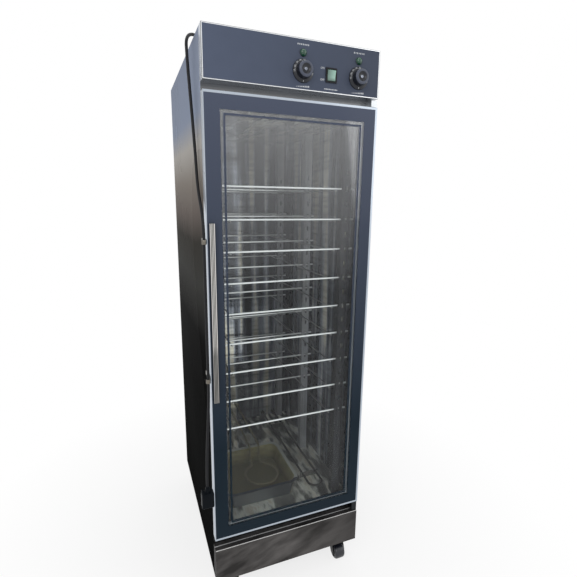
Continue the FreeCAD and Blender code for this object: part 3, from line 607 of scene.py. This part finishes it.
class PROOFER_OT_stage(bpy.types.Operator):
    """Camera, soft light, pale floor and white surroundings"""
    bl_idname = "proofer.stage"
    bl_label = "Stage"

    def execute(self, context):
        looks = context.scene.proofer_stage
        camera = placed("camera", bpy.data.cameras.new("camera"))
        camera.data.lens = looks.lens
        camera.data.sensor_width = 36.0
        camera.data.sensor_fit = "HORIZONTAL"
        camera.location = (-0.44402, FRONT - 1.07892, 1.25651)
        camera.rotation_euler = (1.364923, -0.011287, -0.373488)
        context.scene.camera = camera

        floor_mesh = bpy.data.meshes.new("floor")
        reach = 30.0
        floor_mesh.from_pydata([(-reach, -reach, 0), (reach, -reach, 0), (reach, reach, 0), (-reach, reach, 0)],
                               [], [(0, 1, 2, 3)])
        floor_mesh.materials.append(paper_sweep("pale paper", looks.floor))
        floor = placed("floor", floor_mesh)

        for name, place, size, watts in (
                ("key", (-2.2, -3.0, 3.0), 2.6, 38.0),
                ("fill", (2.6, -2.4, 2.2), 2.4, 18.0),
                ("top", (0.0, 0.2, 4.2), 2.2, 24.0)):
            lamp = bpy.data.lights.new(name, "AREA")
            lamp.size, lamp.energy = size, watts
            holder = placed(name, lamp)
            holder.location = place
            aim = Vector((0.0, 0.0, 0.85)) - Vector(place)
            holder.rotation_euler = aim.to_track_quat("-Z", "Y").to_euler()

        world = bpy.data.worlds.new("soft room")
        context.scene.world = world
        world.use_nodes = True
        tree = world.node_tree
        tree.nodes.clear()
        strength = add(tree, RANGE, (rays_that_see(tree), 0, 1, 0.55, 1.0))
        light = add(tree, "ShaderNodeBackground", {"Color": (1, 1, 1, 1), "Strength": strength})
        add(tree, "ShaderNodeOutputWorld", {"Surface": light}, None)
        context.scene.view_settings.view_transform = "Standard"
        return {"FINISHED"}


class PROOFER_OT_power_cord(bpy.types.Operator):
    """Mains cord from the roof gland down the left side to its plug"""
    bl_idname = "proofer.power_cord"
    bl_label = "Power cord"

    def execute(self, context):
        route = [
            (-150, 300, 1704), (-150, 300, 1744), (-176, 255, 1770), (-205, 187, 1702), (-270, 105, 1687),
            (-269, 100, 1616), (-263, 92, 1490), (-259, 83, 1385), (-258, 68, 1290), (-258, -4, 1212),
            (-258, -4.2, 1106), (-258, -4.7, 814), (-258, -5, 700), (-271, -8, 520), (-271, -8, 437),
        ]
        curve = bpy.data.curves.new("power_cord", "CURVE")
        curve.dimensions = "3D"
        spline = curve.splines.new("NURBS")
        spline.points.add(len(route) - 1)
        for point, (x, depth, z) in zip(spline.points, route):
            point.co = (x * MM, FRONT + depth * MM, z * MM, 1.0)
        spline.order_u = 3
        spline.use_endpoint_u = True
        spline.resolution_u = 16
        curve.bevel_depth = 0.004
        curve.bevel_resolution = 5
        curve.use_fill_caps = True
        # Rubber mains flex: dull black with a dusty, faintly uneven skin.
        rubber = moulded("rubber flex", "#17181B", 0.55, texture_mm=1.2, bump=0.1)
        curve.materials.append(rubber)
        cord = placed("mains_cord", curve)
        # Moulded PVC plug: dark blue-black, slightly shiny on its edges.
        paint(moulded("moulded PVC", "#080D13", 0.45, texture_mm=0.8, gloss=0.08), "power_plug")
        paint(rubber, "cable_gland")
        x, depth, z = route[0]
        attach(cord, "cabinet")
        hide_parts("power_cord")
        return {"FINISHED"}


class PROOFER_OT_casing(bpy.types.Operator):
    """Steel casing, hood, kick plate and doorway frame"""
    bl_idname = "proofer.casing"
    bl_label = "Casing"

    def execute(self, context):
        looks = context.scene.proofer_cabinet
        upper, middle, lower = looks.side_upper, looks.side_middle, looks.side_lower
        # Painted reflection on the side panels: bands cool and pale above, near black towards the floor.
        bands = [(0.08, lower), (0.62, "#121313"), (0.84, "#232323"), (1.02, "#565654"), (1.14, "#55534F"),
                 (1.22, "#8C837E"), (1.32, "#B0A8A0"), (1.42, middle), (1.5, upper), (1.7, upper)]
        paint(sheet_with_painted_reflection("polished stainless side", bands, 0.03), "left_side_panel", "right_side_panel")
        # A milder painted reflection on the back, roof and base: darker towards the floor.
        mild = [(0.08, "#5A5856"), (0.8, "#8E8C89"), (1.7, "#A9AEB6")]
        paint(sheet_with_painted_reflection("polished stainless sheet", mild, 0.1, 0.4), "back_panel", "roof_panel", "base_plate")
        paint(kick_steel("scuffed brushed stainless", looks.front_steel), "kick_plate")
        paint(hood_sheet("brushed stainless, hood", looks.hood_steel), "control_hood")
        # Brushed stainless: the eye gets fine level lines and cloudy handling marks.
        frame_steel = brushed_metal("brushed stainless, doorway", "#737476", "X", 0.25, line_mm=2.5, contrast=0.5)
        paint(frame_steel, "opening_frame")
        # Worn nickel plate on the cord clips.
        paint(moulded("worn nickel plate", "#77726A", 0.3, texture_mm=0.9, bump=0.03, metallic=1.0), "cord_hooks")
        # Cast pivot blocks with painted light and shade: bright at the top, near black towards the floor.
        low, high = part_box("hinge_brackets")
        pivots = by_height("cast zinc pivot", "#22262A", "#D5D9DC", low.z + 0.1, high.z - 0.1, 0.3, 0.8)
        paint(pivots, "hinge_brackets")
        paint(moulded("mineral wool", "#B9AE93", 0.9, texture_mm=2.0, bump=0.4), "wall_insulation")
        soften(looks.edge_softness, "kick_plate", "control_hood", "hinge_brackets", "cord_hooks")
        return {"FINISHED"}


class PROOFER_OT_interior(bpy.types.Operator):
    """Liner, rack posts, water pan and heaters"""
    bl_idname = "proofer.interior"
    bl_label = "Interior"

    def execute(self, context):
        looks = context.scene.proofer_cabinet
        paint(mirror_liner("polished stainless liner", looks.liner_steel, (1.0, 1.0, 0.05)), "inner_left_wall",
              "inner_right_wall", "inner_back_wall")
        paint(mirror_liner("polished stainless floor", "#C4C4BB", (1.6, 0.45, 1.0)), "inner_ceiling", "inner_floor")
        paint(post_steel("folded stainless posts", "#B0B0B4", "#2C2D31"), "left_rack_posts", "right_rack_posts")
        # Mill-finish sheet under the floor heater.
        paint(moulded("mill-finish sheet", "#6A6864", 0.35, texture_mm=1.6, metallic=0.7), "heater_supports")
        paint(stained_pan("water-stained steel", "#A09870"), "water_pan")
        # Heater sheath: oxidised alloy tube, dark and dull, tinted by scale where it lies in water.
        paint(moulded("oxidised heater sheath", "#3A3833", 0.4, texture_mm=1.5, metallic=1.0), "floor_heater")
        paint(moulded("scaled heater sheath", "#827B60", 0.45, texture_mm=1.5, metallic=0.3), "pan_heater")
        soften(0.0003, "left_rack_posts", "right_rack_posts")
        return {"FINISHED"}


class PROOFER_OT_shelves(bpy.types.Operator):
    """Chrome shelf rods and wires"""
    bl_idname = "proofer.shelves"
    bl_label = "Shelves"

    def execute(self, context):
        looks = context.scene.proofer_shelves
        # Chrome-plated rods: a thin bright line with dark edges. The wires under them stay dull.
        chrome = moulded("chrome-plated rod", "#FFFFFF", 0.2, texture_mm=1.5, bump=0.02, metallic=0.6, variation=0.04)
        dull = moulded("dull plated wire", "#8D8C8A", 0.3, texture_mm=1.5, bump=0.02, metallic=1.0)
        low, lowest_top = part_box("shelf_1")
        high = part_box("shelf_9")[1]
        count = 9
        inset = 0.006
        rows = (low.y + inset, high.y - inset)
        level = lowest_top.z - looks.rod_radius
        pitch = (high.z - lowest_top.z) / (count - 1)
        wire_inset = 0.021
        wire_x = (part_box("left_rack_posts")[1].x + wire_inset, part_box("right_rack_posts")[0].x - wire_inset)
        drop = level - looks.rod_radius - looks.wire_radius

        def bars(name, radius, ends, first, last, in_row, material):
            """Like bars side by side in a row, repeated upwards at each level."""
            def build(tree, given):
                line = add(tree, "GeometryNodeCurvePrimitiveLine", {"Start": ends[0], "End": ends[1]})
                ring = add(tree, "GeometryNodeCurvePrimitiveCircle", {"Resolution": 18, "Radius": given["Radius"]})
                bar = add(tree, "GeometryNodeCurveToMesh", {"Curve": line, "Profile Curve": ring, "Fill Caps": True})
                row = add(tree, "GeometryNodeMeshLine", {
                    "Count": in_row, "Start Location": first, "Offset": last}, mode="END_POINTS")
                upright = add(tree, "GeometryNodeMeshLine", {"Count": given["Levels"], "Offset": (0, 0, pitch)})
                shelf = add(tree, "GeometryNodeInstanceOnPoints", {"Points": row, "Instance": bar})
                stack = add(tree, "GeometryNodeInstanceOnPoints", {"Points": upright, "Instance": shelf})
                return finished(tree, stack, material)

            return node_mesh(name, {
                "Levels": ("NodeSocketInt", count), "Radius": ("NodeSocketFloat", radius)}, build)

        rods = bars("shelf rods", looks.rod_radius, ((low.x, 0, 0), (high.x, 0, 0)),
                    (0, rows[0], level), (0, rows[1], level), 3, chrome)
        wires = bars("shelf wires", looks.wire_radius, ((0, low.y, 0), (0, high.y, 0)),
                     (wire_x[0], 0, drop), (wire_x[1], 0, drop), 2, dull)
        for index, part in enumerate((rods, wires)):
            for face in part.polygons:
                face.material_index = index
        mesh = join_meshes("wire_shelves", [rods, wires])
        smooth_by_angle(mesh)
        shelves = ["shelf_%d" % number for number in range(1, count + 1)]
        dress("wire_shelves", mesh, [chrome, dull], "cabinet", "chrome", *shelves)
        return {"FINISHED"}


class PROOFER_OT_door(bpy.types.Operator):
    """Door frame, printed front pane, inner pane, spacer, gasket and handle"""
    bl_idname = "proofer.door"
    bl_label = "Door"

    def execute(self, context):
        looks = context.scene.proofer_door
        # Anodised extrusion: pale satin with faint lines along its length.
        satin = brushed_metal("anodised aluminium", looks.aluminium, "Z", 0.28, contrast=0.06, bump=0.02)
        paint(satin, "door_frame")
        paint(moulded("mill-finish spacer bar", "#C4CCD2", 0.35, metallic=0.3), "glass_spacer")
        paint(ridged_aluminium("ridged aluminium", "#EAE8E4"), "door_handle")
        soften(0.0004, "door_frame", "door_handle")
        # Extruded EPDM seal.
        paint(moulded("EPDM seal", "#101113", 0.6), "door_gasket")
        paint(clear_glass("float glass, inner", 0.002, 0.002, 0.02), "inner_glass")
        glass = clear_glass("float glass, front", 0.014, 0.12, 0.3)
        # Ceramic ink fired on the pane: deep navy under a glassy gloss, paler where the upper part catches the light.
        low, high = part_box("front_glass")
        door_low, door_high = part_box("door_frame")
        printed = by_height("fired ceramic print", looks.border, "#596073", low.z + 0.3, high.z + 0.1, 0.12, 0.0, 0.1)
        steps = [looks.border_width, looks.border_width + looks.line_gap]
        steps.append(steps[1] + looks.line_width)
        xs, zs = ([low[axis]] + [door_low[axis] + step for step in steps]
                  + [door_high[axis] - step for step in reversed(steps)] + [high[axis]] for axis in (0, 2))
        last = len(xs) - 1
        form = bmesh.new()
        sheets = [[[form.verts.new((x, y, z)) for x in xs] for z in zs] for y in (low.y, high.y)]
        for sheet in sheets:
            for row in range(last):
                for column in range(last):
                    face = form.faces.new((sheet[row][column], sheet[row][column + 1],
                                           sheet[row + 1][column + 1], sheet[row + 1][column]))
                    # Counted inwards the rings are border, clear strip, line and clear middle.
                    ring = min(row, column, last - 1 - row, last - 1 - column)
                    face.material_index = 1 if ring in (0, 2) else 0
        rim = [(0, c) for c in range(last)] + [(r, last) for r in range(last)]
        rim += [(last, c) for c in range(last, 0, -1)] + [(r, 0) for r in range(last, 0, -1)]
        pairs = [(sheets[0][row][column], sheets[1][row][column]) for row, column in rim]
        for (near, far), (near_after, far_after) in zip(pairs, pairs[1:] + pairs[:1]):
            form.faces.new((near, near_after, far_after, far)).material_index = 1
        dress("printed_pane", closed_mesh("printed_pane", form), [glass, printed], "door", "glass", "front_glass")
        return {"FINISHED"}


class PROOFER_OT_controls(bpy.types.Operator):
    """Fascia with its marks, dials, lamps and rocker switch"""
    bl_idname = "proofer.controls"
    bl_label = "Controls"

    def execute(self, context):
        looks = context.scene.proofer_controls
        paint(slate_enamel("slate enamel", looks.fascia), "control_fascia")
        # Phenolic: near black, satin. The rims of the dials carry a painted blue-grey highlight.
        phenolic = moulded("black phenolic", "#1A1D25", 0.32, texture_mm=0.9, bump=0.03, gloss=0.45)
        pale_rim = moulded("phenolic rim, painted highlight", "#4A5060", 0.35, texture_mm=0.9, bump=0.03, gloss=0.45)
        turned = moulded("turned aluminium", "#8A8F9A", 0.25, texture_mm=0.5, metallic=1.0)
        ink = moulded("white screen ink", looks.ink, 0.6, texture_mm=0.8, bump=0.02)
        lens = lens_plastic("green acrylic lens", looks.lens)
        paint(moulded("black nylon", "#121316", 0.35), "switch_housing", "humidity_thermostat",
              "temperature_thermostat")
        paint(rocker_lens("pale green rocker", looks.rocker), "switch_rocker")
        soften(0.0005, "switch_housing", "switch_rocker")
        for name in ("humidity", "temperature"):
            self.dial(name, looks, [phenolic, turned, pale_rim], ink)
            self.lamp(name, lens, phenolic)
        self.fascia_marks(ink)
        return {"FINISHED"}

    def dial(self, name, looks, finishes, ink):
        x, z, skirt = front_circle(name + "_knob")
        rear = FRONT - 1.5 * MM
        # Rings with material index 2 carry the painted highlight on the grip's rounded rim.
        profile = [(0, 0, 0), (skirt - 0.6, 0, 0), (skirt, 0.7, 0), (skirt - 0.8, 2.6, 0), (22.4, 4.2, 0),
                   (21.3, 5.2, 0), (20.8, 18.5, 0), (20.0, 21.8, 2), (18.2, 24.0, 2), (15.8, 25.0, 2),
                   (13.2, 24.7, 0), (11.2, 23.4, 0), (9.4, 21.6, 0), (7.2, 20.6, 0), (4.6, 20.3, 1), (4.4, 21.6, 1),
                   (3.4, 22.4, 1), (1.8, 22.4, 1), (1.4, 21.7, 1), (0, 21.5, 1)]
        mesh = lathe(name + "_dial", profile, (x, rear, z), (0, -1, 0), 72)
        dress(name + "_dial", mesh, finishes, name + "_knob", "black_plastic", name + "_knob")

        marks = []
        face = rear - 3.6 * MM
        print_depth = 0.6 * MM
        digit_ring, tick_ring = 25.8 * MM, 24.5 * MM
        first_angle, angle_step = 186, 25
        for number in range(looks.dial_count):
            angle = math.radians(first_angle - angle_step * number)
            spot = Vector((x + digit_ring * math.cos(angle), face, z + digit_ring * math.sin(angle)))
            turn = Matrix.Rotation(math.pi / 2 - angle, 4, "Y")
            marks.append(text_outline_mesh(str(looks.dial_step * (number + 1)), looks.digit_height,
                                           Matrix.Translation(spot) @ turn @ TO_FRONT, print_depth))
        digits = join_meshes(name + "_dial_numbers", marks)
        dress(name + "_dial_numbers", digits, [ink], name + "_knob", "black_plastic")

        gaps = looks.dial_count - 1

        def ticks(tree, given):
            first_tick = first_angle - angle_step / 2
            ring = add(tree, "GeometryNodeCurveArc", {
                "Resolution": given["Ticks"], "Radius": tick_ring, "Start Angle": math.radians(first_tick),
                "Sweep Angle": math.radians((1 - gaps) * angle_step)})
            points = add(tree, "GeometryNodeCurveToPoints", {"Curve": ring, "Count": given["Ticks"]}, mode="COUNT")
            dot = add(tree, "GeometryNodeMeshCylinder", {
                "Vertices": 10, "Radius": given["Tick radius"], "Depth": print_depth})
            dots = add(tree, "GeometryNodeInstanceOnPoints", {"Points": points, "Instance": dot})
            pointer = add(tree, "GeometryNodeMeshCube", {"Size": (1.2 * MM, 5.0 * MM, print_depth)})
            lowered = add(tree, "GeometryNodeTransform", {"Geometry": pointer, "Translation": (0, -24.6 * MM, 0)})
            both = add(tree, "GeometryNodeJoinGeometry", (dots,))
            tree.links.new(lowered, both.node.inputs["Geometry"])
            return finished(tree, both, ink)

        mesh = node_mesh(name + " dial ticks", {
            "Ticks": ("NodeSocketInt", gaps), "Tick radius": ("NodeSocketFloat", 0.0007)}, ticks)
        mesh.transform(Matrix.Translation((x, face, z)) @ TO_FRONT)
        dress(name + "_dial_ticks", mesh, [], name + "_knob", "black_plastic")

    def lamp(self, name, lens, collar):
        x, z, radius = front_circle(name + "_lamp")
        seat = FRONT - 1.0 * MM
        profile = [(0, -14, 1), (6, -14, 1), (6, 0, 1), (radius, 0, 1), (radius, 1.2, 1), (radius - 0.7, 1.8, 0)]
        for step in range(1, 8):
            angle = math.radians(90 * step / 8)
            profile.append(((radius - 1.2) * math.cos(angle), 1.8 + 7.0 * math.sin(angle), 0))
        profile.append((0, 8.8, 0))
        mesh = lathe(name + "_pilot_lamp", profile, (x, seat, z), (0, -1, 0), 40)
        dress(name + "_pilot_lamp", mesh, [lens, collar], "cabinet", "green_lens", name + "_lamp")

    def fascia_marks(self, ink):
        face = FRONT - 1.0 * MM
        outlines = []

        def bar(x, z, width, height):
            left, right, under, over = x - width / 2, x + width / 2, z - height / 2, z + height / 2
            outlines.append([(left, under), (right, under), (right, over), (left, over)])

        def drop(x, z, size):
            points = []
            for step in range(16):
                angle = 2 * math.pi * step / 16
                pull = 1.0 + 0.9 * max(0.0, math.sin(angle)) ** 4
                points.append((x + size * math.cos(angle), z + size * pull * math.sin(angle)))
            outlines.append(points)

        moist, warm, switch = 15, 182, 98
        under_dial, over_lamp, under_switch = 1557.5, 1660.0, 1560.0
        for centre in (moist, warm):
            for step in range(8):
                height = 1.2 + 0.5 * step
                bar(centre - 17 + 4.9 * step, under_dial + height / 2, 3.0, height)
            for step in range(-3, 4):
                if centre == moist:
                    drop(centre + 5.0 * step, over_lamp, 1.5)
                else:
                    bar(centre + 5.0 * step, over_lamp + 0.5, 2.2, 4.2 if step % 2 else 2.6)
        for step in range(-4, 5):
            bar(switch + 4.6 * step, under_switch, 3.0, 3.2 if step % 2 else 2.2)
        mesh = flat_marks("fascia_marks", outlines, face, 0.0002)
        words = []
        for text, z in (("ON", 1611), ("OFF", 1582)):
            place = Matrix.Translation(((switch - 26) * MM, face, z * MM)) @ TO_FRONT
            words.append(text_outline_mesh(text, 0.0052, place, 0.0004))
        dress("fascia_marks", join_meshes("fascia_marks", [mesh] + words), [ink], "cabinet", "fascia")


class PROOFER_OT_casters(bpy.types.Operator):
    """Swivel casters"""
    bl_idname = "proofer.casters"
    bl_label = "Casters"

    def execute(self, context):
        # Zinc-plated pressings and dark grey rubber tyres on a nylon hub.
        zinc = moulded("zinc plate", "#8F9297", 0.35, texture_mm=1.6, bump=0.05, metallic=1.0)
        painted = moulded("black stove paint", "#131417", 0.4, texture_mm=1.6, bump=0.05)
        tyre = moulded("dark rubber tyre", "#1B1E27", 0.3, texture_mm=1.4, bump=0.1, gloss=0.6)
        hub = moulded("nylon hub", "#1A1C20", 0.3)
        for corner in ("front_left", "front_right", "rear_left", "rear_right"):
            low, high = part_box(corner + "_caster_wheel")
            centre = (low + high) / 2
            radius = (high.z - low.z) / 2 / MM
            half = (high.x - low.x) / 2 / MM
            curl, tyre_from = 9.0, 14.5
            side = [(4.1, 1.0, 1), (8.0, 0.0, 1), (9.0, 1.5, 1), (14.0, 3.0, 1), (15.5, 0.6, 0)]
            profile = [(r, h - half, m) for r, h, m in side]
            for step in range(7):
                angle = math.radians(15 * step)
                profile.append((radius - curl + curl * math.sin(angle), -half + curl - curl * math.cos(angle), 0))
            profile += [(r, -h, 0 if r > tyre_from else 1) for r, h, _ in reversed(profile)]
            profile.append(profile[0])
            mesh = lathe(corner + "_tyre", profile, centre, (1, 0, 0), 48)
            dress(corner + "_tyre", mesh, [tyre, hub], corner + "_wheel", "wheel_rubber", corner + "_caster_wheel")
            paint(painted, corner + "_caster_fork")
        paint(zinc, "caster_plates")
        return {"FINISHED"}


class PROOFER_PT_panel(bpy.types.Panel):
    """Lists the steps that dress the proofing box"""
    bl_label = "Proofing box"
    bl_idname = "PROOFER_PT_panel"
    bl_space_type = "VIEW_3D"
    bl_region_type = "UI"
    bl_category = "Proofing box"

    def draw(self, context):
        for group, names in (("proofer_cabinet", ("proofer.casing", "proofer.interior")),
                             ("proofer_controls", ("proofer.controls",)),
                             ("proofer_door", ("proofer.door",)),
                             ("proofer_shelves", ("proofer.shelves",)),
                             ("proofer_stage", ("proofer.stage", "proofer.power_cord", "proofer.casters"))):
            box = self.layout.box()
            settings = getattr(context.scene, group)
            for key in settings.__annotations__:
                box.prop(settings, key)
            for name in names:
                box.operator(name)


GROUPS = {"proofer_cabinet": CabinetLooks, "proofer_controls": ControlLooks, "proofer_door": DoorLooks,
          "proofer_shelves": ShelfLooks, "proofer_stage": StageLooks}
OPERATORS = (PROOFER_OT_stage, PROOFER_OT_power_cord, PROOFER_OT_casing, PROOFER_OT_interior, PROOFER_OT_shelves,
             PROOFER_OT_door, PROOFER_OT_controls, PROOFER_OT_casters)


def register():
    for name, group in GROUPS.items():
        bpy.utils.register_class(group)
        setattr(bpy.types.Scene, name, PointerProperty(type=group))
    for operator in OPERATORS:
        bpy.utils.register_class(operator)
    bpy.utils.register_class(PROOFER_PT_panel)


def unregister():
    bpy.utils.unregister_class(PROOFER_PT_panel)
    for operator in reversed(OPERATORS):
        bpy.utils.unregister_class(operator)
    for name, group in reversed(GROUPS.items()):
        delattr(bpy.types.Scene, name)
        bpy.utils.unregister_class(group)


def main():
    register()
    bpy.ops.proofer.stage()
    bpy.ops.proofer.power_cord()
    bpy.ops.proofer.casing()
    bpy.ops.proofer.interior()
    bpy.ops.proofer.shelves()
    bpy.ops.proofer.door()
    bpy.ops.proofer.controls()
    bpy.ops.proofer.casters()


if __name__ == "__main__":
    main()
